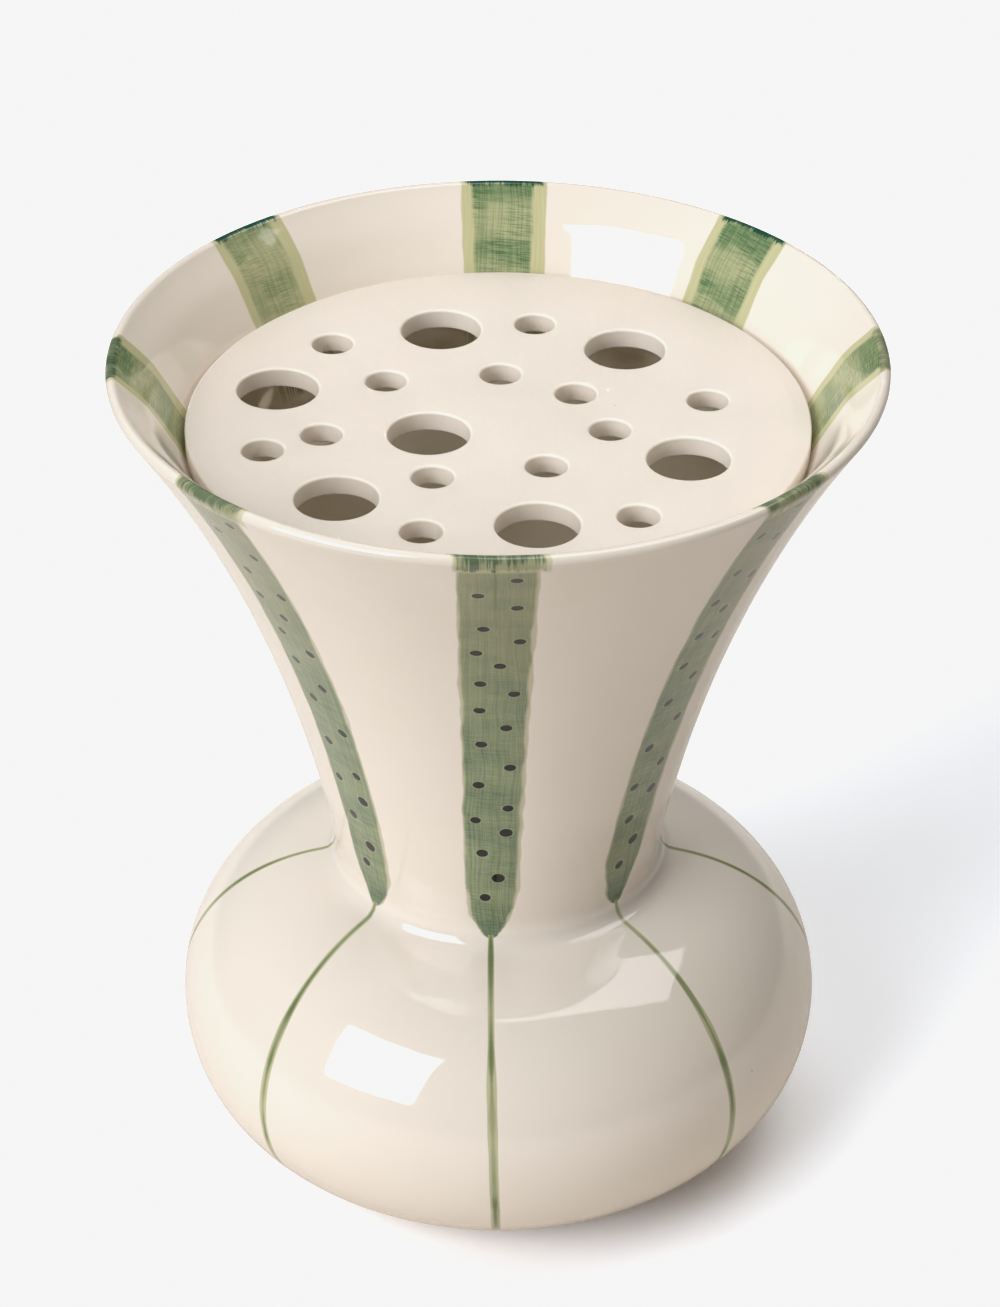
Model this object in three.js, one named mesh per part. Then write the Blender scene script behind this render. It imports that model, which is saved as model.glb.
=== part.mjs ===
// A stoneware vase and the loose pierced disc, the flower frog, that rests in its flared mouth.
// Millimetres, +Z up. The origin is on the ground at the centre of the vase's foot.

import * as THREE from 'three';
import { mergeVertices } from 'three/addons/utils/BufferGeometryUtils.js';

// Vase: heights above the ground and radii of the outer face, from the foot to the lip.
const footRadius = 45;
const footEdge = 0.8;
const bulbRadius = 72;
const bulbHeight = 34.5;
const shoulderRadius = 39.3;
const shoulderHeight = 70;
const neckRadius = 36.2;
const neckHeight = 76;
const flareRadius = 81.65;
const flareHeight = 195.25;

// Handles that bow the outer face between those heights, as [radius, height].
const footHandle = [56, 5.2];
const underBulbHandle = [bulbRadius, 14.5];
const overBulbHandle = [bulbRadius, 49.5];
const shoulderHandle = [60.5, 65.5];
const creaseHandle = [neckRadius, shoulderHeight + 0.7];
const neckHandle = [43.7, 116.5];
const flareHandle = [56.6, 156.3];

// Vase: wall, floor and foot ring. The wall thins to the lip over the last of its height.
const wallThickness = 4.4;
const lipThickness = 2.6;
const lipTaper = 12;
const floorHeight = 5;
const footRingWidth = 9;
const footRecess = 1.5;

// Flower frog: a flat disc that stops where the flared wall has closed in to its edge.
const frogRadius = 66;
const frogThickness = 4.6;
const frogSeatHeight = 177.4;
const frogEdgeBevel = 0.9;
const largeHoleRadius = 8.4;
const smallHoleRadius = 4.1;

// Hole centres, laid out by hand: six large ones round the edge and one near the middle,
// then a small one between each pair at the edge and seven round the middle one.
const largeHoles = [[-12.5, 39], [27.5, 30], [-47, 12.5], [-14.5, -6.5], [39.5, -17], [-33, -33], [8, -43.5]];
const smallHoles = [
  [-36, 32.5], [8, 41.5], [44.5, 7.5], [28.5, -40], [-15.5, -46], [-49, -13.5],
  [-24, 16], [0.5, 19], [16.5, 10.5], [23.5, -5], [10, -20], [-13.5, -24.5], [-37, -7],
];

// Facets round the vertical axis and round each hole.
const turnSegments = 64;
const largeHoleSegments = 24;
const smallHoleSegments = 16;

// The stretches of the outer face: lower bulb, upper bulb, crease at the shoulder, long flare.
// Each comes with the number of steps that it is drawn in.
function outerFace() {
  const face = new THREE.Path();
  face.moveTo(footRadius, footEdge);
  face.bezierCurveTo(...footHandle, ...underBulbHandle, bulbRadius, bulbHeight);
  face.bezierCurveTo(...overBulbHandle, ...shoulderHandle, shoulderRadius, shoulderHeight);
  face.quadraticCurveTo(...creaseHandle, neckRadius, neckHeight);
  face.bezierCurveTo(...neckHandle, ...flareHandle, flareRadius, flareHeight);
  const steps = [7, 8, 3, 12];
  return face.curves.map((curve, i) => ({ curve, steps: steps[i] }));
}

// Points along the outer face, foot to lip, with the unit normal that points out of the clay.
function samples(stretches) {
  const list = [];
  for (const { curve, steps } of stretches) {
    const first = list.length === 0 ? 0 : 1;
    for (let i = first; i <= steps; i += 1) {
      const tangent = curve.getTangent(i / steps);
      const normal = new THREE.Vector2(tangent.y, -tangent.x);
      list.push({ point: curve.getPoint(i / steps), normal });
    }
  }
  return list;
}

// Wall thickness behind a point of the outer face: full, then easing down to the lip's.
function thicknessAt(height) {
  const rise = THREE.MathUtils.smoothstep(height, flareHeight - lipTaper, flareHeight);
  return wallThickness - (wallThickness - lipThickness) * rise;
}

// The lip is a half round that joins the two faces of the wall.
function lipPoints(top) {
  const steps = 6;
  const radius = lipThickness / 2;
  const centre = top.point.clone().addScaledVector(top.normal, -radius);
  const points = [];
  for (let i = 1; i < steps; i += 1) {
    const spoke = top.normal.clone().multiplyScalar(radius);
    points.push(spoke.rotateAround(new THREE.Vector2(0, 0), Math.PI * i / steps).add(centre));
  }
  return points;
}

// The vase is turned: underside and foot ring, outer face, lip, inner face, floor.
function vaseGeometry() {
  const wall = samples(outerFace());
  const outside = wall.map(({ point }) => point);
  const inside = wall.map(({ point, normal }) => point.clone().addScaledVector(normal, -thicknessAt(point.y)));
  const outline = [
    new THREE.Vector2(0, footRecess),
    new THREE.Vector2(footRadius - footRingWidth - footRecess, footRecess),
    new THREE.Vector2(footRadius - footRingWidth, 0),
    new THREE.Vector2(footRadius - footEdge, 0),
    ...outside,
    ...lipPoints(wall.at(-1)),
    ...inside.reverse(),
    new THREE.Vector2(0, floorHeight),
  ];
  return turned(outline);
}

// Turns an outline of (radius, height) points round the vertical axis.
function turned(outline) {
  const geometry = new THREE.LatheGeometry(outline, turnSegments);
  return geometry.rotateX(Math.PI / 2);
}

// Corner points of a round outline, the first one on the +X side.
function ring(x, y, radius, segments) {
  const points = [];
  for (let i = 0; i < segments; i += 1) {
    const angle = 2 * Math.PI * i / segments;
    points.push(new THREE.Vector2(x + radius * Math.cos(angle), y + radius * Math.sin(angle)));
  }
  return points;
}

// The frog is a flat slab with its edge and every hole bevelled on both faces.
function frogGeometry() {
  const slab = new THREE.Shape(ring(0, 0, frogRadius - frogEdgeBevel, turnSegments));
  for (const [x, y] of largeHoles) {
    slab.holes.push(new THREE.Path(ring(x, y, largeHoleRadius + frogEdgeBevel, largeHoleSegments)));
  }
  for (const [x, y] of smallHoles) {
    slab.holes.push(new THREE.Path(ring(x, y, smallHoleRadius + frogEdgeBevel, smallHoleSegments)));
  }
  return new THREE.ExtrudeGeometry(slab, {
    depth: frogThickness - 2 * frogEdgeBevel,
    bevelEnabled: true,
    bevelThickness: frogEdgeBevel,
    bevelSize: frogEdgeBevel,
    bevelSegments: 1,
  });
}

// Joins the corners that touching facets share, so that the skin is one closed surface.
function joined(geometry) {
  geometry.deleteAttribute('normal');
  geometry.deleteAttribute('uv');
  const merged = mergeVertices(geometry, 1e-4);
  merged.computeVertexNormals();
  return merged;
}

const vase = new THREE.Mesh(
  joined(vaseGeometry()),
  new THREE.MeshStandardMaterial({ color: 0xe9dfd0, roughness: 0.18, metalness: 0, flatShading: true }),
);
vase.name = 'vase';

const frog = new THREE.Mesh(
  joined(frogGeometry()),
  new THREE.MeshStandardMaterial({ color: 0xe8dccd, roughness: 0.5, metalness: 0, flatShading: true }),
);
frog.name = 'flower_frog';
frog.position.z = frogSeatHeight + frogEdgeBevel;

const object = new THREE.Group();
object.add(vase, frog);

export default object;
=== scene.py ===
import math

import bpy
import numpy as np
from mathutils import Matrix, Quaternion, Vector
from mathutils.geometry import delaunay_2d_cdt


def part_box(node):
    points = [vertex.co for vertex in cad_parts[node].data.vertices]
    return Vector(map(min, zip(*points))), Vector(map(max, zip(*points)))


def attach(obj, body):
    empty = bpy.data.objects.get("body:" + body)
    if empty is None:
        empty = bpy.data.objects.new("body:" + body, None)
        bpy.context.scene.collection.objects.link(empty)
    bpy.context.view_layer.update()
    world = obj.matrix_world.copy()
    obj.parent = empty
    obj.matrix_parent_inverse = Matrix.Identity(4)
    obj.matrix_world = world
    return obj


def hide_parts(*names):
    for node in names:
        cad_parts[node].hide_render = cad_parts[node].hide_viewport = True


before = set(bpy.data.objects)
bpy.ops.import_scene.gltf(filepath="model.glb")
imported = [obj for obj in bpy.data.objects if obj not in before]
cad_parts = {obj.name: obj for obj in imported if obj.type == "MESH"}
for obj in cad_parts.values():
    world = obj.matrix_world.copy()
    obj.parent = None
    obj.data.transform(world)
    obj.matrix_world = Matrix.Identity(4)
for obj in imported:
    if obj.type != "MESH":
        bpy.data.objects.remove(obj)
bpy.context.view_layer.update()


# ---------------------------------------------------------------- the vase: clay
# One hollow piece of white stoneware, turned on a wheel: a low foot ring, a squashed round
# bulb, a pinched neck and one long flare, with the rim sponged round while it is soft.

_, vase_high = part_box("vase")
frog_low, frog_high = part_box("flower_frog")
LIP_TOP = 197.25
mm = vase_high.z / LIP_TOP

FOOT = (45.0, 0.8)
BELLY = (72.0, 34.5)
SHOULDER = (39.3, 70.0)
NECK = (36.2, 76.0)
BRIM = (81.65, 195.25)
WALL = 4.4
LIP_WALL = 2.6
LIP_TAPER = 8.0
FOOT_RING = 36.0
FOOT_HOLLOW = 1.5
FLOOR = 5.0
TURNS = 240
OUTER_GAP, INNER_GAP, FLOOR_GAP = 1.6, 2.2, 4.0


def bend(start, pull_a, pull_b, end, steps):
    """Cubic Bezier: (1-t)^3 start + 3(1-t)^2 t pull_a + 3(1-t) t^2 pull_b + t^3 end."""
    t = np.linspace(0.0, 1.0, steps)[:, None]
    corners = [np.array(p, float) for p in (start, pull_a, pull_b, end)]
    weights = ((1 - t) ** 3, 3 * (1 - t) ** 2 * t, 3 * (1 - t) * t * t, t ** 3)
    return sum(w * p for w, p in zip(weights, corners))


def even_steps(line, gap):
    """The same line cut again into equal steps of about the given gap along its length."""
    reach = np.concatenate([[0], np.cumsum(np.hypot(*np.diff(line, axis=0).T))])
    marks = np.linspace(0, reach[-1], max(2, int(round(reach[-1] / gap)) + 1))
    return np.stack([np.interp(marks, reach, line[:, i]) for i in (0, 1)], axis=1)


def outward(line):
    """Unit normal on the right-hand side of the line's direction of travel."""
    way = np.gradient(line, axis=0)
    way /= np.hypot(*way.T)[:, None]
    return np.stack([way[:, 1], -way[:, 0]], axis=1)


def quarter(centre, radius, first, last, steps):
    """Arc of a circle: centre + radius (cos a, sin a), a running from first to last degrees."""
    a = np.radians(np.linspace(first, last, steps))
    return np.array(centre) + radius * np.stack([np.cos(a), np.sin(a)], axis=1)


def vase_outline():
    """(radius, height) from the middle of the underside, out, up, over the lip and down inside.

    The inner face is the outer one moved in by the wall. The wall thins in a straight bevel over
    the last LIP_TAPER of height, eased in over the bevel's first quarter.
    """
    outer = np.concatenate([
        bend(FOOT, (56, 5.2), (BELLY[0], 14.5), BELLY, 400),
        bend(BELLY, (BELLY[0], 49.5), (60.5, 65.5), SHOULDER, 400)[1:],
        bend(SHOULDER, (37.2, 70.5), (36.2, 72.4), NECK, 100)[1:],
        bend(NECK, (43.7, 116.5), (56.6, 156.3), BRIM, 400)[1:],
    ])
    outer = even_steps(outer, 0.2)
    normal = outward(outer)
    rise = np.clip((outer[:, 1] - BRIM[1] + LIP_TAPER) / LIP_TAPER, 0, 1)
    ease_in = 0.25
    curved, straight = rise * rise / (ease_in * (2 - ease_in)), (2 * rise - ease_in) / (2 - ease_in)
    bevel = np.where(rise < ease_in, curved, straight)
    thick = WALL - (WALL - LIP_WALL) * bevel
    inner = (outer - thick[:, None] * normal)[::-1]
    inner = inner[inner[:, 1] > 7.0]
    tip = outer[-1] - normal[-1] * LIP_WALL / 2
    lean = math.degrees(math.atan2(normal[-1][1], normal[-1][0]))
    lip = quarter(tip, LIP_WALL / 2, lean, lean + 180, 14)[1:-1]
    start, drop = inner[-1], inner[-1] - inner[-6]
    drop /= np.hypot(*drop)
    floor = bend(start, start + 5 * drop, (30, FLOOR), (0, FLOOR), 60)[1:]
    under = np.concatenate([
        bend((0, FOOT_HOLLOW), (12, FOOT_HOLLOW), (24, FOOT_HOLLOW), (34, FOOT_HOLLOW), 8),
        bend((34, FOOT_HOLLOW), (35.4, FOOT_HOLLOW), (34.6, 0), (FOOT_RING, 0), 8)[1:],
        quarter((FOOT[0] - FOOT[1], FOOT[1]), FOOT[1], -90, -10, 6),
    ])
    walls = [even_steps(outer, OUTER_GAP), lip, even_steps(inner, INNER_GAP)]
    return np.concatenate([under, *walls, even_steps(floor, FLOOR_GAP)])


def turned(name, outline, run, turns, wobble):
    """Surface of revolution: (r cos a, r sin a, z) for each outline point and each angle a.

    Rows at radius 0 shrink to one point. wobble(a, z) pushes a point out along its radius.
    """
    radius, height = outline[:, 0], outline[:, 1]
    a = np.linspace(0, 2 * np.pi, turns, endpoint=False)
    spread = radius[1:-1, None] + wobble(a[None, :], height[1:-1, None])
    ring = np.stack([
        spread * np.cos(a), spread * np.sin(a), np.broadcast_to(height[1:-1, None], spread.shape),
    ], axis=-1).reshape(-1, 3)
    points = np.concatenate([[[0, 0, height[0]]], ring, [[0, 0, height[-1]]]]) * mm
    rows, last = len(radius) - 2, len(points) - 1
    grid = 1 + np.arange(rows * turns).reshape(rows, turns)
    after = np.roll(grid, -1, axis=1)
    quads = np.stack([grid[:-1], after[:-1], after[1:], grid[1:]], axis=-1).reshape(-1, 4)
    start = np.stack([np.zeros(turns, int), after[0], grid[0]], axis=-1)
    end = np.stack([np.full(turns, last), grid[-1], after[-1]], axis=-1)
    mesh = bpy.data.meshes.new(name)
    mesh.from_pydata(points.tolist(), [], quads.tolist() + start.tolist() + end.tolist())
    mesh.polygons.foreach_set("use_smooth", np.ones(len(mesh.polygons), bool))
    along = np.concatenate([[run[0]], np.repeat(run[1:-1], turns), [run[-1]]])
    mesh.attributes.new("wall_run", "FLOAT", "POINT").data.foreach_set("value", along.astype(np.float32))
    mesh.update()
    return mesh


def hand_wobble(a, z):
    """Radius error in mm left by the hands: two slow waves round the pot that drift with height."""
    slow = 0.09 * np.sin(2 * a + 0.02 * z + 0.6) + 0.05 * np.sin(3 * a - 0.035 * z + 2.0)
    return slow * np.clip((190 - z) / 30, 0, 1) * np.clip(z / 20, 0, 1)


outline = vase_outline()
outline = outline[np.concatenate([[True], np.hypot(*np.diff(outline, axis=0).T) > 0.01])]
length = np.concatenate([[0], np.cumsum(np.hypot(*np.diff(outline, axis=0).T))])
lip_at = length[np.argmax(outline[:, 1])]

vase_clay = turned("vase_clay", outline, length - lip_at, TURNS, hand_wobble)
vase = bpy.data.objects.new("vase_body_glazed", vase_clay)
bpy.context.scene.collection.objects.link(vase)
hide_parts("vase")
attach(vase, "vase_body")


# ---------------------------------------------------------------- the vase: paint and glaze
# Eight broad strokes of underglaze green run down the flare, each with a row of dark spots, a
# dab over the lip and a fine line on over the bulb; eight wider ones run inside the mouth. A
# clear gloss glaze covers it all.


def shade(red, green, blue):
    """Colour as mixed on a tile, 0 to 255 a channel, turned into the shader's linear numbers."""
    def linear(c):
        c /= 255.0
        return c / 12.92 if c <= 0.04045 else ((c + 0.055) / 1.055) ** 2.4
    return (linear(red), linear(green), linear(blue), 1.0)


class Bench:
    """Lays out one node tree: each call adds a node, feeds its inputs and hands back an output."""

    def __init__(self, tree):
        self.tree = tree

    def add(self, kind, feeds=(), out=0, **settings):
        node = self.tree.nodes.new(kind)
        for name, value in settings.items():
            setattr(node, name, value)
        for key, value in dict(feeds).items():
            if isinstance(value, bpy.types.NodeSocket):
                self.tree.links.new(value, node.inputs[key])
            else:
                node.inputs[key].default_value = value
        return node.outputs[out]

    def calc(self, operation, *values):
        return self.add("ShaderNodeMath", dict(enumerate(values)), operation=operation)

    def times(self, first, *rest):
        for value in rest:
            first = self.calc("MULTIPLY", first, value)
        return first

    def place(self, x, y, z=0.0):
        return self.add("ShaderNodeCombineXYZ", {0: x, 1: y, 2: z})

    def noise(self, vector, detail=2.0, roughness=0.5):
        feeds = {"Vector": vector, "Scale": 1.0, "Detail": detail, "Roughness": roughness}
        return self.add("ShaderNodeTexNoise", feeds)

    def grain(self, across, fine, along, slow, seed, detail=2.0, roughness=0.5):
        """Noise with so many waves to a mm across and so many to a mm along."""
        spot = self.place(self.times(across, fine), self.times(along, slow), seed)
        return self.noise(spot, detail, roughness)

    def ease(self, value, low, high, start=0.0, end=1.0):
        feeds = {"Value": value, "From Min": low, "From Max": high, "To Min": start, "To Max": end}
        return self.add("ShaderNodeMapRange", feeds, interpolation_type="SMOOTHSTEP")

    def blend(self, factor, under, over):
        return self.add("ShaderNodeMix", {0: factor, 6: under, 7: over}, out=2, data_type="RGBA")

    def steps(self, factor, stops):
        """A colour ramp with no blending: each stop's colour holds until the next stop."""
        node = self.tree.nodes.new("ShaderNodeValToRGB")
        ramp = node.color_ramp
        ramp.interpolation = "CONSTANT"
        while len(ramp.elements) < len(stops):
            ramp.elements.new(1.0)
        for element, (position, colour) in zip(ramp.elements, stops):
            element.position = position
            element.color = colour
        self.tree.links.new(factor, node.inputs[0])
        return self.add("ShaderNodeSeparateColor", {0: node.outputs[0]}).node.outputs


def group(name, inputs, outputs):
    """Empty shader node group with the named float inputs and outputs, and its two end nodes."""
    tree = bpy.data.node_groups.new(name, "ShaderNodeTree")
    for label in inputs:
        tree.interface.new_socket(label, in_out="INPUT", socket_type="NodeSocketFloat")
    for label in outputs:
        tree.interface.new_socket(label, in_out="OUTPUT", socket_type="NodeSocketFloat")
    return Bench(tree), tree.nodes.new("NodeGroupInput").outputs, tree.nodes.new("NodeGroupOutput").inputs


def use(bench, tree, **feeds):
    """Places a node group in a bench's tree, with its inputs fed by name."""
    node = bench.tree.nodes.new("ShaderNodeGroup")
    node.node_tree = tree
    for label, value in feeds.items():
        if isinstance(value, bpy.types.NodeSocket):
            bench.tree.links.new(value, node.inputs[label])
        else:
            node.inputs[label].default_value = value
    return node.outputs


def wall_place():
    """Where a point of the wall lies, in mm: across its nearest stroke, up, and along the wall.

    Run is the way along the wall from the lip, below 0 outside and above 0 inside. Stroke counts
    the eight strokes from the one at +X round.
    """
    bench, _, out = group("Wall place", [], ["Across", "Up", "Run", "Stroke"])
    spot = bench.add("ShaderNodeTexCoord", out=3)
    split = bench.add("ShaderNodeSeparateXYZ", {0: spot}).node.outputs
    angle = bench.calc("ARCTAN2", split[1], split[0])
    eighths = bench.calc("DIVIDE", angle, math.pi / 4)
    nearest = bench.calc("ROUND", eighths)
    offset = bench.times(bench.calc("SUBTRACT", eighths, nearest), math.pi / 4)
    flat = bench.place(split[0], split[1])
    reach = bench.add("ShaderNodeVectorMath", {0: flat}, out=1, operation="LENGTH")
    links = bench.tree.links
    links.new(bench.times(offset, reach, 1 / mm), out["Across"])
    links.new(bench.times(split[2], 1 / mm), out["Up"])
    links.new(bench.add("ShaderNodeAttribute", out=2, attribute_name="wall_run"), out["Run"])
    links.new(bench.calc("FLOORED_MODULO", nearest, 8.0), out["Stroke"])
    return bench.tree


def brush_hair():
    """Marks of the brush: dark hair lines and pale scratches along the stroke, cross threads
    where the paint dried on the weave of the sponge, and slow thick and thin."""
    names = ["Hair", "Scratch", "Weave", "Body"]
    bench, into, out = group("Brush hair", ["Across", "Along", "Seed"], names)
    across, along, seed = into["Across"], into["Along"], into["Seed"]
    sway = bench.grain(across, 0.05, along, 0.06, seed, 1)
    bent = bench.calc("MULTIPLY_ADD", sway, 2.4, across)
    long_hair = bench.grain(bent, 2.3, along, 0.016, seed, 3, 0.6)
    short_hair = bench.grain(bent, 6.0, along, 0.1, seed, 2)
    both = bench.calc("MULTIPLY_ADD", short_hair, 0.5, bench.times(long_hair, 0.5))
    lean = bench.calc("MULTIPLY_ADD", across, 0.07, along)
    thread = bench.grain(across, 0.25, lean, 3.6, seed, 3, 0.6)
    patch = bench.grain(across, 0.12, along, 0.1, bench.calc("ADD", seed, 9.0), 1)
    body = bench.grain(across, 0.07, lean, 0.16, seed, 2)
    caught = bench.ease(patch, 0.3, 0.6, 0.35, 1.0)
    links = bench.tree.links
    links.new(bench.ease(both, 0.43, 0.58), out["Hair"])
    links.new(bench.ease(short_hair, 0.56, 0.68), out["Scratch"])
    links.new(bench.times(bench.ease(thread, 0.44, 0.6), caught), out["Weave"])
    links.new(bench.ease(body, 0.36, 0.64), out["Body"])
    return bench.tree


def ragged_band():
    """Cover of a stroke between two edges, 0 to 1, with the edges worried by the brush."""
    names = ["Across", "Left", "Right", "Along", "Seed", "Ragged", "Soft"]
    bench, into, out = group("Ragged band", names, ["Cover"])
    side = bench.calc("SIGN", into["Across"])
    slow = bench.noise(bench.place(side, bench.times(into["Along"], 0.12), into["Seed"]), 1)
    quick = bench.noise(bench.place(side, bench.times(into["Along"], 1.6), into["Seed"]), 2)
    slow = bench.calc("MULTIPLY_ADD", slow, 4.0, -2.0)
    shake = bench.calc("ADD", slow, bench.calc("MULTIPLY_ADD", quick, 0.5, -0.25))
    from_left = bench.calc("SUBTRACT", into["Across"], into["Left"])
    from_right = bench.calc("SUBTRACT", into["Right"], into["Across"])
    nearest = bench.calc("MINIMUM", from_left, from_right)
    inside = bench.calc("ADD", nearest, bench.times(shake, into["Ragged"]))
    bench.tree.links.new(bench.ease(inside, bench.times(into["Soft"], -1.0), into["Soft"]), out["Cover"])
    return bench.tree


# One drawing of spots serves all eight strokes: how far across, how far above its step, and
# how big each spot is, from the lip down. They stand taller low on the flare than near the lip,
# so the half height is given at two heights. Across and up they stay within half of SPOT_REACH.
SPOT_PITCH = 5.6
SPOT_TOP = 190.4
SPOT_ACROSS = (
    3.7, -3.9, 3.8, -2.9, 4.4, -4.4, 0.4, -3.6, 3.3, -3.8,
    1.7, -3.5, 2.5, -4.1, 2.1, -4.8, 1.7, -3.4, 0.0, -2.8,
)
SPOT_SHIFT = (
    0.0, 0.0, 1.2, -0.7, 0.4, 2.0, 3.2, 2.6, 4.8, 4.8,
    4.6, 4.7, 2.7, 2.5, 0.7, 2.3, 4.1, 3.1, 0.9, 0.3,
)
SPOT_SIZE = (1, 1, 1, 1, 1, 1, 1, 1, 1, 1, 1, 1, 1, 1, 0.92, 0.9, 1.12, 1, 1.14, 0.94)
SPOT_REACH = 12.0
SPOT_HALF_WIDTH = 1.27
SPOT_HALF_HEIGHT = ((85.0, 1.2), (195.0, 0.84))


def spots():
    """Small dark ovals, one to a step down the stroke, each moved by its own stop of a ramp.

    A point looks at the spot of its own step and of the next one down. Its distance from a spot
    is sqrt((across / half width)^2 + (up / half height)^2) / size, and the spot ends at 1.
    """
    bench, into, out = group("Spots", ["Across", "Up"], ["Cover", "Halo"])
    count = len(SPOT_ACROSS)
    (low, tall_low), (high, tall_high) = SPOT_HALF_HEIGHT
    feeds = {0: into["Up"], 1: low, 2: high, 3: tall_low, 4: tall_high}
    tall = bench.add("ShaderNodeMapRange", feeds)
    rows = enumerate(zip(SPOT_ACROSS, SPOT_SHIFT, SPOT_SIZE))
    stops = [(i / count, (a / SPOT_REACH + 0.5, b / SPOT_REACH + 0.5, c / 2, 1)) for i, (a, b, c) in rows]
    cover, halo = 0.0, 0.0
    for step in (0.0, 1.0):
        down = bench.calc("DIVIDE", bench.calc("SUBTRACT", SPOT_TOP, into["Up"]), SPOT_PITCH)
        index = bench.calc("ADD", bench.calc("FLOOR", down), step)
        moved = bench.steps(bench.calc("DIVIDE", bench.calc("ADD", index, 0.5), float(count)), stops)
        centre = bench.times(bench.calc("SUBTRACT", moved[0], 0.5), SPOT_REACH)
        shift = bench.times(bench.calc("SUBTRACT", moved[1], 0.5), SPOT_REACH)
        height = bench.calc("SUBTRACT", SPOT_TOP, bench.times(index, SPOT_PITCH))
        height = bench.calc("ADD", height, shift)
        dx = bench.calc("DIVIDE", bench.calc("SUBTRACT", into["Across"], centre), SPOT_HALF_WIDTH)
        dy = bench.calc("DIVIDE", bench.calc("SUBTRACT", into["Up"], height), tall)
        away = bench.calc("SQRT", bench.calc("ADD", bench.times(dx, dx), bench.times(dy, dy)))
        away = bench.calc("DIVIDE", away, bench.times(moved[2], 2.0))
        first, last = bench.calc("GREATER_THAN", index, -0.5), bench.calc("LESS_THAN", index, count - 0.5)
        listed = bench.times(first, last)
        cover = bench.calc("MAXIMUM", cover, bench.times(bench.ease(away, 0.9, 1.1, 1.0, 0.0), listed))
        halo = bench.calc("MAXIMUM", halo, bench.times(bench.ease(away, 1.1, 1.36, 1.0, 0.0), listed))
    bench.tree.links.new(cover, out["Cover"])
    bench.tree.links.new(halo, out["Halo"])
    return bench.tree


def glaze_skin():
    """Fired glaze: fine pinprick specks, slow cloudiness of the colour, and a ripple in the gloss."""
    bench, _, out = group("Glaze skin", [], ["Specks", "Cloud", "Ripple"])
    spot = bench.add("ShaderNodeTexCoord", out=3)
    in_mm = bench.add("ShaderNodeVectorMath", {0: spot, "Scale": 1 / mm}, operation="SCALE")
    cells = bench.tree.nodes.new("ShaderNodeTexVoronoi")
    cells.inputs["Scale"].default_value = 0.16
    bench.tree.links.new(in_mm, cells.inputs["Vector"])
    chance = bench.add("ShaderNodeSeparateColor", {0: cells.outputs["Color"]}).node.outputs
    size = bench.times(bench.calc("POWER", chance[0], 4.0), 0.05)
    kept = bench.calc("GREATER_THAN", chance[1], 0.55)
    speck = bench.times(bench.calc("LESS_THAN", cells.outputs["Distance"], size), kept)
    slow = bench.add("ShaderNodeTexNoise", {"Vector": in_mm, "Scale": 0.03, "Detail": 2.0})
    ripple = bench.add("ShaderNodeTexNoise", {"Vector": in_mm, "Scale": 0.06, "Detail": 1.0})
    peel = bench.add("ShaderNodeTexNoise", {"Vector": in_mm, "Scale": 0.5, "Detail": 1.0})
    bench.tree.links.new(speck, out["Specks"])
    bench.tree.links.new(slow, out["Cloud"])
    bench.tree.links.new(bench.calc("MULTIPLY_ADD", peel, 0.04, ripple), out["Ripple"])
    return bench.tree


WALL_PLACE = wall_place()
BRUSH_HAIR = brush_hair()
RAGGED_BAND = ragged_band()
SPOTS = spots()
GLAZE_SKIN = glaze_skin()

CREAM = shade(241, 231, 218)
CREAM_DEEP = shade(239, 228, 213)
CREAM_BELOW_DISC_PAINTED_LIGHT = shade(249, 238, 217)
SPECK = shade(150, 120, 90)
WASH = shade(203, 198, 154)
EDGE = shade(194, 187, 156)
LEAF_OLIVE = shade(150, 151, 112)
LEAF = shade(151, 161, 121)
LEAF_DEEP = shade(80, 106, 78)
LEAF_INSIDE = shade(92, 126, 82)
LINE = shade(92, 110, 62)
DAB = shade(46, 88, 66)
DAB_DEEP = shade(28, 76, 54)
SPOT = shade(8, 9, 3)
HALO = shade(176, 180, 156)

# How far the hand strayed from even spacing on each stroke, from the one at +X round, in mm: the
# outer drawing across and up, and the inner stroke across, all within half of STRAY_REACH. Then
# how strong each dab over the lip and each inner stroke came out.
STRAY_ACROSS = (2.1, 0.4, -1.3, -1.0, 1.0, -0.3, 0.0, 1.9)
STRAY_UP = (0.8, -0.6, 1.0, -1.1, 0.5, 0.0, 0.0, 1.5)
STRAY_INSIDE = (2.1, 0.4, -1.3, -1.0, 1.0, 0.3, -0.4, 0.6)
STRAY_REACH = 8.0
DAB_STRENGTH = (0.6, 1.0, 1.0, 1.0, 0.95, 0.75, 0.85, 0.75)
INSIDE_LOAD = (0.85, 1.0, 1.0, 0.65, 0.85, 1.0, 1.0, 1.0)

# Heights and widths of the painting in mm. A stroke's pair is its value at the start and the
# change on the way: over the whole stroke outside, to each mm of wall inside. The line's pairs
# are its value low on the bulb and at the neck.
STROKE_HIGH, STROKE_SPAN = 190.0, 110.0
STROKE_LEFT, STROKE_RIGHT, STROKE_MIDDLE = (-8.2, 0.9), (8.3, -4.0), (-0.2, -1.5)
STROKE_TIP, TIP_LENGTH = 72.5, 18.5
INNER_HALF = (9.7, -0.03)
INNER_MARGIN = 2.8
INNER_END = 39.0
LIP_LEFT, LIP_RIGHT = -8.7, 10.4
LIP_MIDDLE = 1.2
LINE_FOOT = 10.5
LINE_DRIFT = (-0.5, -1.6)
LINE_HALF = (1.05, 0.6)


def band(bench, across, left, right, along, seed, ragged, soft):
    """Cover of one stroke between its left and right edges."""
    feeds = {"Across": across, "Left": left, "Right": right, "Along": along}
    return use(bench, RAGGED_BAND, Seed=seed, Ragged=ragged, Soft=soft, **feeds)["Cover"]


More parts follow.
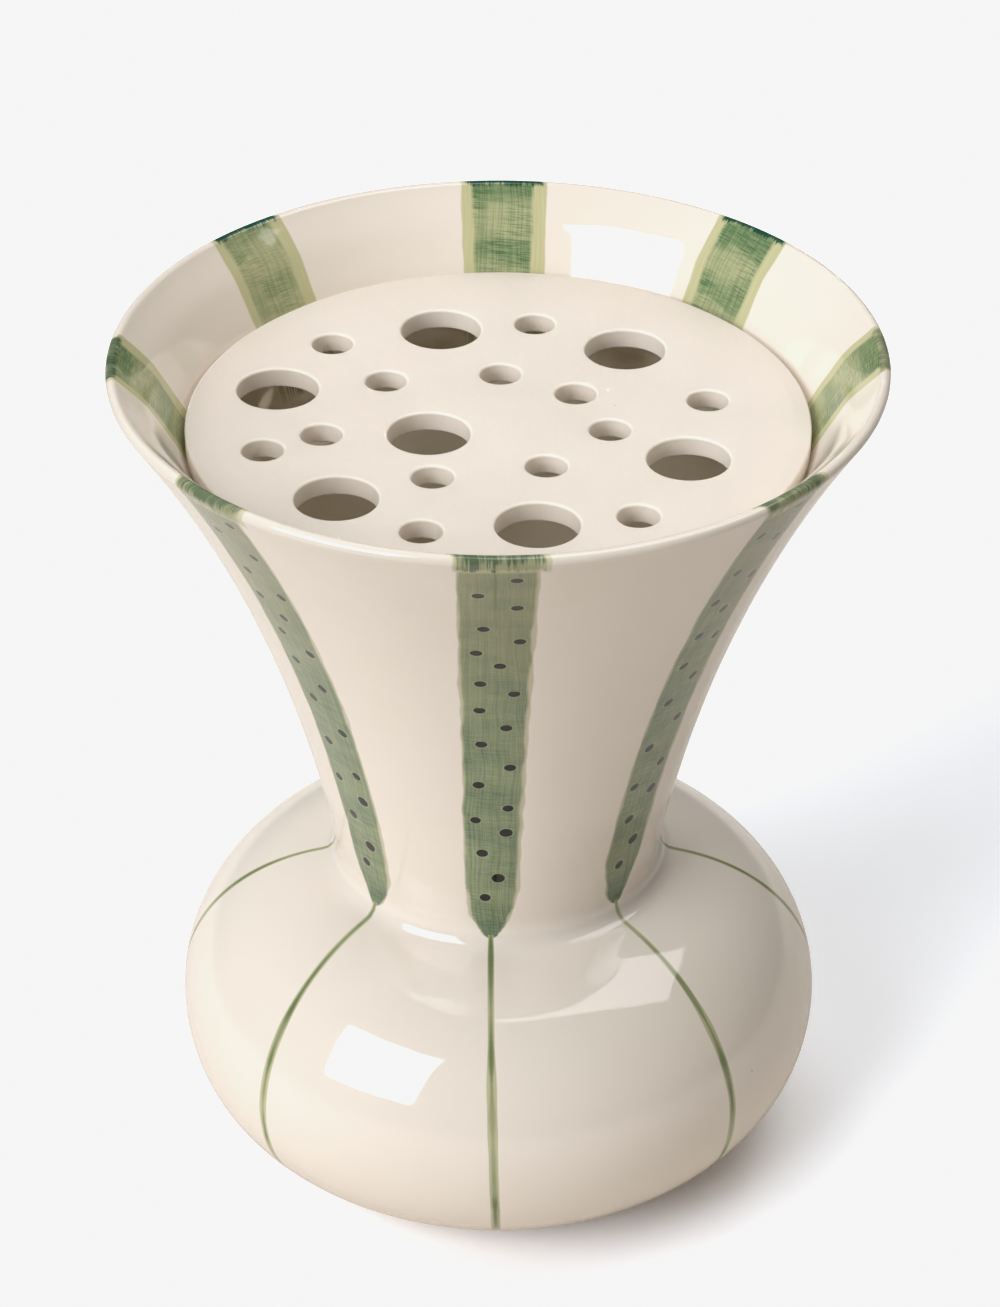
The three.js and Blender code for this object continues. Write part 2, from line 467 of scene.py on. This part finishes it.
def vase_finish():
    """Gloss glaze over the painting; each layer of paint is laid over the one before."""
    material = bpy.data.materials.new("vase_painted_glaze")
    material.use_nodes = True
    bench = Bench(material.node_tree)
    calc, times, ease, blend = bench.calc, bench.times, bench.ease, bench.blend
    shader = material.node_tree.nodes["Principled BSDF"]
    where = use(bench, WALL_PLACE)
    up_now, run, stroke = (where[n] for n in ("Up", "Run", "Stroke"))
    pick = calc("DIVIDE", calc("ADD", stroke, 0.5), 8.0)
    rows = enumerate(zip(STRAY_ACROSS, STRAY_UP, STRAY_INSIDE))
    stops = [(i / 8, (*(v / STRAY_REACH + 0.5 for v in row), 1)) for i, row in rows]
    moved = bench.steps(pick, stops)
    reach = STRAY_REACH
    stray_across, stray_up, stray_in = (calc("MULTIPLY_ADD", moved[i], reach, -reach / 2) for i in range(3))
    rows = enumerate(zip(DAB_STRENGTH, INSIDE_LOAD))
    strong, load, _ = bench.steps(pick, [(i / 8, (a, b, 0, 1)) for i, (a, b) in rows])
    across = calc("SUBTRACT", where["Across"], stray_across)
    across_in = calc("SUBTRACT", where["Across"], stray_in)
    up = calc("SUBTRACT", up_now, stray_up)
    skin = use(bench, GLAZE_SKIN)
    colour = blend(skin["Cloud"], CREAM_DEEP, CREAM)
    # Low inside the mouth, from about the disc down, the wall is painted a lighter, warmer cream: painted
    # light for the dim inside seen through the holes.
    colour = blend(ease(run, 22.0, 36.0), colour, CREAM_BELOW_DISC_PAINTED_LIGHT)
    seed = times(stroke, 7.3)
    outside = calc("LESS_THAN", run, 0.0)
    inside = calc("SUBTRACT", 1.0, outside)

    # strokes down the outside of the flare, closing to a point as sqrt(t (2 - t)) at the neck
    drop = calc("DIVIDE", calc("SUBTRACT", STROKE_HIGH, up), STROKE_SPAN)
    courses = (STROKE_LEFT, STROKE_RIGHT, STROKE_MIDDLE)
    left, right, middle = (calc("MULTIPLY_ADD", drop, change, start) for start, change in courses)
    toward = calc("DIVIDE", calc("SUBTRACT", up, STROKE_TIP), TIP_LENGTH)
    toward = calc("MINIMUM", calc("MAXIMUM", toward, 0.0), 1.0)
    point = calc("SQRT", times(toward, calc("SUBTRACT", 2.0, toward)))
    left = calc("MULTIPLY_ADD", calc("SUBTRACT", left, middle), point, middle)
    right = calc("MULTIPLY_ADD", calc("SUBTRACT", right, middle), point, middle)
    flare = times(outside, calc("GREATER_THAN", up, STROKE_TIP + 0.1))
    bristle = ease(up, 90.0, 78.0, 0.35, 0.8)
    wash = band(bench, across, left, right, up, seed, bristle, 0.2)
    inset_left = calc("ADD", left, 0.45)
    inset_right = calc("SUBTRACT", right, ease(up, 78.0, 92.0, 0.1, 0.75))
    green = band(bench, across, inset_left, inset_right, up, calc("ADD", seed, 2.0), bristle, 0.45)
    hair = use(bench, BRUSH_HAIR, Across=across, Along=up, Seed=seed)
    lower = ease(up, 176.0, 130.0)
    leaf = blend(lower, LEAF_OLIVE, LEAF)
    hairs = times(hair["Hair"], calc("MULTIPLY_ADD", lower, 0.14, 0.32))
    threads = times(hair["Weave"], calc("MULTIPLY_ADD", lower, 0.25, 0.12))
    heavy = calc("ADD", calc("MULTIPLY_ADD", hair["Body"], 0.22, hairs), threads)
    heavy = calc("ADD", heavy, ease(up, 86.0, 73.0, 0.06, 0.45))
    leaf = blend(heavy, leaf, LEAF_DEEP)
    leaf = blend(times(hair["Scratch"], 0.22), leaf, EDGE)
    colour = blend(times(wash, flare, 0.85), colour, EDGE)
    colour = blend(times(green, flare, 0.95), colour, leaf)

    # wide strokes inside the mouth: strong paint under the lip and again lower, thin between
    hair_in = use(bench, BRUSH_HAIR, Across=across_in, Along=run, Seed=calc("ADD", seed, 40.0))
    lifted = calc("MULTIPLY_ADD", hair_in["Body"], 3.0, run)
    lifted = calc("MULTIPLY_ADD", hair_in["Hair"], 4.0, lifted)
    mouth = times(inside, ease(lifted, INNER_END + 1.5, INNER_END))
    half = calc("MULTIPLY_ADD", run, INNER_HALF[1], INNER_HALF[0])
    wash_in = band(bench, across_in, times(half, -1.0), half, run, seed, 0.2, 0.25)
    narrow = calc("SUBTRACT", half, INNER_MARGIN)
    off_middle = calc("SUBTRACT", across_in, 0.3)
    green_in = band(bench, off_middle, times(narrow, -1.0), narrow, run, calc("ADD", seed, 3.0), 0.35, 0.6)
    edge_at = calc("MULTIPLY_ADD", hair_in["Body"], 3.0, calc("SUBTRACT", run, 1.5))
    low_paint = times(ease(edge_at, 11.5, 14.5), ease(edge_at, 20.0, 17.0), 0.75)
    paint = calc("MAXIMUM", ease(edge_at, 7.0, 4.0), low_paint)
    thin = calc("MULTIPLY_ADD", hair_in["Weave"], 0.26, 0.27)
    thin = calc("MULTIPLY_ADD", hair_in["Hair"], 0.16, thin)
    thin = calc("MULTIPLY_ADD", paint, 0.42, thin)
    colour = blend(times(wash_in, mouth), colour, WASH)
    colour = blend(times(hair_in["Hair"], wash_in, mouth, 0.1), colour, LEAF_INSIDE)
    strength = times(green_in, mouth, thin, load)
    colour = blend(strength, colour, LEAF_INSIDE)
    crossing = calc("MAXIMUM", hair_in["Weave"], times(hair_in["Hair"], 0.6))
    colour = blend(times(crossing, strength, 0.5), colour, LEAF_DEEP)

    # dab over the lip, from the outer stroke to the inner one
    turn_in = ease(run, -1.5, 1.5)
    stray_lip = calc("MULTIPLY_ADD", calc("SUBTRACT", stray_in, stray_across), turn_in, stray_across)
    over = calc("SUBTRACT", where["Across"], stray_lip)
    lip_left = calc("MULTIPLY_ADD", turn_in, -1.0, LIP_LEFT)
    lip_right = calc("MULTIPLY_ADD", turn_in, -0.7, LIP_RIGHT)
    near = calc("ABSOLUTE", calc("ADD", run, LIP_MIDDLE))
    lip_wash = band(bench, over, lip_left, lip_right, run, seed, 0.5, 0.3)
    lip_wash = times(lip_wash, ease(near, 4.8, 3.0), ease(run, 1.4, 0.4))
    colour = blend(times(lip_wash, 0.72), colour, WASH)
    dab_left, dab_right = calc("ADD", lip_left, 0.6), calc("SUBTRACT", lip_right, 1.2)
    dab = band(bench, over, dab_left, dab_right, run, seed, 0.5, 0.6)
    ticks = bench.grain(over, 2.4, run, 0.16, seed, 3, 0.6)
    puddle = bench.grain(over, 0.35, run, 0.2, seed, 2)
    wet = calc("MULTIPLY_ADD", puddle, 0.45, times(ticks, 0.6))
    reach_out = calc("ADD", times(wet, 6.0), calc("ADD", run, 1.3))
    reach_in = calc("SUBTRACT", calc("MULTIPLY_ADD", wet, 4.0, -0.9), run)
    length_cover = ease(calc("MINIMUM", reach_out, reach_in), -0.3, 0.7)
    dry = times(ease(run, -0.6, -2.6), 0.1)
    patchy = ease(calc("SUBTRACT", wet, dry), 0.4, 0.56, 0.36, 0.95)
    solid = times(ease(run, -1.6, -0.6), ease(strong, 0.86, 0.99))
    patchy = calc("MAXIMUM", patchy, solid)
    dab_cover = times(dab, length_cover, patchy, strong)
    colour = blend(dab_cover, colour, blend(ease(wet, 0.44, 0.6), DAB, DAB_DEEP))

    # fine line over the bulb: a pale wash with a broken dark core
    bulb = times(outside, calc("LESS_THAN", up, STROKE_TIP + 0.8))
    drift = ease(up_now, 10.0, 72.0, *LINE_DRIFT)
    wide = ease(up_now, 52.0, 72.0, *LINE_HALF)
    line_left, line_right = calc("SUBTRACT", drift, wide), calc("ADD", drift, wide)
    line = band(bench, across, line_left, line_right, up_now, seed, 0.12, 0.16)
    core_wide = times(wide, 0.5)
    core_left, core_right = calc("SUBTRACT", drift, core_wide), calc("ADD", drift, core_wide)
    core = band(bench, across, core_left, core_right, up_now, calc("ADD", seed, 1.0), 0.3, 0.4)
    loaded = bench.noise(bench.place(seed, times(up_now, 0.06)), 1)
    line_cover = times(line, bulb, ease(up_now, LINE_FOOT, LINE_FOOT + 2.0))
    colour = blend(times(line_cover, 0.9), colour, blend(0.35, WASH, LEAF))
    colour = blend(times(core, line_cover, ease(loaded, 0.35, 0.6, 0.4, 0.9)), colour, LINE)

    # spots, and specks of iron in the glaze
    spot = use(bench, SPOTS, Across=across, Up=up)
    colour = blend(times(spot["Halo"], flare, 0.35), colour, HALO)
    colour = blend(times(spot["Cover"], flare), colour, SPOT)
    colour = blend(times(skin["Specks"], 0.5), colour, SPECK)

    links = material.node_tree.links
    links.new(colour, shader.inputs["Base Color"])
    shader.inputs["Roughness"].default_value = 0.06
    shader.inputs["IOR"].default_value = 1.52
    bump = bench.add("ShaderNodeBump", {"Height": skin["Ripple"], "Strength": 0.35, "Distance": 0.0006})
    links.new(bump, shader.inputs["Normal"])
    return material


vase.data.materials.append(vase_finish())


# ---------------------------------------------------------------- the flower frog
# A flat disc of the same clay, pierced for stems with two sizes of cutter while leather hard,
# every edge wiped round with a sponge and glazed satin. It lies loose in the mouth.

FROG_EDGE = 0.6
LARGE_HOLE = 8.75
SMALL_HOLE = 4.45
RIM_CORNERS, LARGE_CORNERS, SMALL_CORNERS = 256, 72, 48
LARGE_HOLES = (
    (-12.5, 39), (27.5, 30), (-47, 12.5), (-14.5, -6.5), (39.5, -17), (-33, -33), (8, -43.5),
)
SMALL_HOLES = (
    (-36, 32.5), (8, 41.5), (44.5, 7.5), (28.5, -40), (-15.5, -46), (-49, -13.5),
    (-24, 16), (0.5, 19), (16.5, 10.5), (23.5, -5), (10, -20), (-13.5, -24.5), (-37, -7),
)


def edge_grid(centre, radius, side, corners):
    """Rows of a rounded edge round a circle, from the top face to the bottom face.

    A quarter round of FROG_EDGE turns the top face into the upright wall and another turns it
    into the bottom face. side is +1 for the disc's rim and -1 for the wall of a hole.
    """
    top, bottom = frog_high.z / mm, frog_low.z / mm
    turn = np.radians(np.linspace(90, 0, 7))
    out = side * FROG_EDGE * (np.cos(turn) - 1)
    drop = FROG_EDGE * (np.sin(turn) - 1)
    reach = radius + np.concatenate([out, out[::-1]])
    height = np.concatenate([top + drop, (bottom - drop)[::-1]])
    a = np.linspace(0, 2 * np.pi, corners, endpoint=False)
    x = centre[0] + reach[:, None] * np.cos(a)
    y = centre[1] + reach[:, None] * np.sin(a)
    return np.stack([x, y, np.broadcast_to(height[:, None], x.shape)], axis=-1)


def pierced_disc():
    """Slab closed by rounded edges: each edge is a grid, and the two flat faces are filled
    between the first rows and between the last rows by constrained Delaunay triangles.

    A point attribute holds sin(pi t), t running 0 to 1 over each rounded edge: where the glaze runs thin
    and pale, and a painted highlight along the rims.
    """
    edges = [edge_grid((0, 0), frog_high.x / mm, 1, RIM_CORNERS)]
    edges += [edge_grid(c, LARGE_HOLE, -1, LARGE_CORNERS) for c in LARGE_HOLES]
    edges += [edge_grid(c, SMALL_HOLE, -1, SMALL_CORNERS) for c in SMALL_HOLES]
    points, faces, tops, bottoms, edge_glaze_and_highlight = [], [], [], [], []
    base = 0
    for number, grid in enumerate(edges):
        rows, corners = grid.shape[:2]
        index = base + np.arange(rows * corners).reshape(rows, corners)
        after = np.roll(index, -1, axis=1)
        quads = np.stack([index[:-1], index[1:], after[1:], after[:-1]], axis=-1).reshape(-1, 4)
        faces += (quads if number == 0 else quads[:, ::-1]).tolist()
        points.append(grid.reshape(-1, 3))
        edge_glaze_and_highlight.append(np.repeat(np.tile(np.sin(np.linspace(0, np.pi, rows // 2)), 2), corners))
        tops.append(index[0])
        bottoms.append(index[-1])
        base += rows * corners
    points = np.concatenate(points)
    loops, owner, start = [], [], 0
    for number, ring in enumerate(tops):
        own = start + np.arange(len(ring))
        loops += np.stack([own, np.roll(own, -1)], axis=-1).tolist()
        owner += [number] * len(ring)
        start += len(ring)
    ring_top, ring_bottom = np.concatenate(tops), np.concatenate(bottoms)
    flat = [Vector(p[:2]) for p in points[ring_top]]
    _, _, cells, source, _, _ = delaunay_2d_cdt(flat, loops, [], 0, 1e-6)
    source = np.array([s[0] for s in source])
    owner = np.array(owner)
    for cell in cells:
        own = source[list(cell)]
        if owner[own[0]] and len(set(owner[own])) == 1:
            continue
        faces.append(ring_top[own].tolist())
        faces.append(ring_bottom[own[::-1]].tolist())
    mesh = bpy.data.meshes.new("frog_clay")
    mesh.from_pydata((points * mm).tolist(), [], faces)
    mesh.polygons.foreach_set("use_smooth", np.ones(len(mesh.polygons), bool))
    edge_glaze_and_highlight = np.concatenate(edge_glaze_and_highlight).astype(np.float32)
    mesh.attributes.new("thin_glaze_and_highlight", "FLOAT", "POINT").data.foreach_set("value", edge_glaze_and_highlight)
    mesh.update()
    return mesh


FROG_CREAM = shade(233, 223, 210)
FROG_CREAM_DEEP = shade(226, 214, 199)
FROG_EDGE_GLAZE_AND_HIGHLIGHT = shade(247, 240, 229)


def frog_finish():
    """Satin glaze, a little warmer than the vase's, with the same skin. It breaks pale on edges, and the
    pale edge is also a painted highlight along the rims.
    """
    material = bpy.data.materials.new("frog_satin_glaze")
    material.use_nodes = True
    bench = Bench(material.node_tree)
    shader = material.node_tree.nodes["Principled BSDF"]
    skin = use(bench, GLAZE_SKIN)
    colour = bench.blend(skin["Cloud"], FROG_CREAM_DEEP, FROG_CREAM)
    # Rounded edges painted paler: thinner glaze there, and a painted highlight along the rims.
    edge = bench.add("ShaderNodeAttribute", out=2, attribute_name="thin_glaze_and_highlight")
    colour = bench.blend(bench.times(edge, 0.6), colour, FROG_EDGE_GLAZE_AND_HIGHLIGHT)
    colour = bench.blend(bench.times(skin["Specks"], 0.35), colour, SPECK)
    links = material.node_tree.links
    links.new(colour, shader.inputs["Base Color"])
    links.new(bench.ease(skin["Cloud"], 0.3, 0.7, 0.42, 0.5), shader.inputs["Roughness"])
    bump = bench.add("ShaderNodeBump", {"Height": skin["Ripple"], "Strength": 0.3, "Distance": 0.0004})
    links.new(bump, shader.inputs["Normal"])
    return material


frog = bpy.data.objects.new("flower_frog_disc", pierced_disc())
frog.data.materials.append(frog_finish())
bpy.context.scene.collection.objects.link(frog)
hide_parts("flower_frog")
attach(frog, "frog_body")


# ---------------------------------------------------------------- floor, light and camera
# A pale floor that runs out of sight. A crisp soft box stands low at the front left, a dim panel
# and a card for the glaze to mirror high on the right, wide sheets of diffuser above and behind,
# a snooted panel looks into the mouth, and a long lens looks down on it all.

FLOOR_HALF, FLOOR_DROP = 6.0, 2e-4
FLOOR_LIT = (1.25, 1.265, 1.3, 1)
FLOOR_NEAR = (0.84, 0.775, 0.7, 1)
FLOOR_FAR = (0.16, 0.155, 0.15, 1)
FLOOR_FADE = (0.25, 0.9)
PAPER_WHITE = 0.92


def floor_sheet():
    """Flat sheet of white paper. What it throws back at the vase fades with distance, as from a
    table top about a metre across in a dark room, while the sheet itself looks white all over."""
    mesh = bpy.data.meshes.new("floor")
    signs = ((-1, -1), (1, -1), (1, 1), (-1, 1))
    mesh.from_pydata([(FLOOR_HALF * x, FLOOR_HALF * y, -FLOOR_DROP) for x, y in signs], [], [(0, 1, 2, 3)])
    floor = bpy.data.objects.new("floor", mesh)
    material = bpy.data.materials.new("floor_paper")
    material.use_nodes = True
    shader = material.node_tree.nodes["Principled BSDF"]
    bench = Bench(material.node_tree)
    seen = bench.add("ShaderNodeLightPath")
    spot = bench.add("ShaderNodeTexCoord", out=3)
    reach = bench.add("ShaderNodeVectorMath", {0: spot}, out=1, operation="LENGTH")
    bounce = bench.blend(bench.ease(reach, *FLOOR_FADE), FLOOR_NEAR, FLOOR_FAR)
    tone = bench.blend(seen, bounce, FLOOR_LIT)
    material.node_tree.links.new(tone, shader.inputs["Base Color"])
    shader.inputs["Roughness"].default_value = 1.0
    shader.inputs["Specular IOR Level"].default_value = 0.0
    mesh.materials.append(material)
    bpy.context.scene.collection.objects.link(floor)
    return floor


def panel(
    name, azimuth, elevation, size, level, tint, seen="both", roll=0.0, aim=0.1, far=4.0, spread=None
):
    """Rectangular light far metres from a point aim metres up the vase's axis, facing it.

    level is the brightness of a white card there that faces the panel. seen is "light" for a
    panel that leaves no reflection in the glaze, "gloss" for one that leaves nothing else, and
    "both" for the rest. roll turns the panel in its own plane and spread is the half angle of a
    snoot over it, both in degrees. A snoot of half angle h makes the light in the middle
    tan h / (tan h - h) times as strong, and a third of that on average over the circle it lights,
    where its level is taken.
    """
    lamp = bpy.data.lights.new(name, "AREA")
    lamp.shape = "RECTANGLE"
    lamp.size, lamp.size_y = size
    lamp.color = tint
    lamp.energy = level * (math.pi * far) ** 2
    if spread:
        h = math.radians(spread)
        lamp.spread = 2 * h
        lamp.energy /= math.tan(h) / (math.tan(h) - h) / 3
    holder = bpy.data.objects.new(name, lamp)
    a, e = math.radians(azimuth), math.radians(elevation)
    way = Vector((math.cos(a) * math.cos(e), math.sin(a) * math.cos(e), math.sin(e)))
    holder.location = Vector((0, 0, aim)) + far * way
    rolled = Quaternion((0, 0, 1), math.radians(roll))
    holder.rotation_euler = (way.to_track_quat("Z", "Y") @ rolled).to_euler()
    holder.visible_glossy = seen != "light"
    holder.visible_diffuse = seen != "gloss"
    bpy.context.scene.collection.objects.link(holder)


floor_sheet()
panel("soft_box", -137, 31, (2.45, 2.6), 0.93, (0.98, 1.0, 1.05), roll=5)
panel("high_panel", 8, 66, (2.0, 2.0), 0.12, (1.0, 0.97, 0.93), "light")
panel("window_card", 12, 70, (1.9, 3.6), 0.5, (1.0, 0.99, 0.98), "gloss", roll=6)
panel("overhead_sheet", -90, 88, (4.0, 4.0), 0.24, (1.0, 0.98, 0.93), "light")
panel("back_sheet", 90, 42, (4.0, 3.0), 0.5, (0.97, 1.0, 1.06), "light")
panel("mouth_snoot", 0, 40, (0.16, 0.09), 0.18, (1.0, 0.95, 0.9), "light", aim=0.195, far=1.5, spread=3.0)

WORLD_TINT, WORLD_LEVEL = (1.0, 0.98, 0.95, 1), 0.05
world = bpy.data.worlds.new("studio")
world.use_nodes = True
world.node_tree.nodes["Background"].inputs["Color"].default_value = WORLD_TINT
world.node_tree.nodes["Background"].inputs["Strength"].default_value = WORLD_LEVEL
bpy.context.scene.world = world

# The brightest paper is held at PAPER_WHITE, as it is in print.
view = bpy.context.scene.view_settings
view.view_transform = "Standard"
view.use_curve_mapping = True
curve = view.curve_mapping.curves[3]
curve.points.new(PAPER_WHITE, PAPER_WHITE)
curve.points[-1].location = (1.0, PAPER_WHITE)
for point in curve.points:
    point.handle_type = "VECTOR"
view.curve_mapping.extend = "HORIZONTAL"
view.curve_mapping.update()

LOOK_AT = Vector((0.0004, 0, 0.1227))
CAMERA_FAR, CAMERA_ELEVATION = 0.9, 32.98
SENSOR, LENS = 36, 113.4
camera = bpy.data.objects.new("camera", bpy.data.cameras.new("camera"))
camera.data.sensor_width = SENSOR
camera.data.lens = LENS
angle = math.radians(CAMERA_ELEVATION)
camera.location = LOOK_AT + CAMERA_FAR * Vector((0, -math.cos(angle), math.sin(angle)))
camera.rotation_euler = (math.radians(90) - angle, 0, 0)
bpy.context.scene.collection.objects.link(camera)
bpy.context.scene.camera = camera
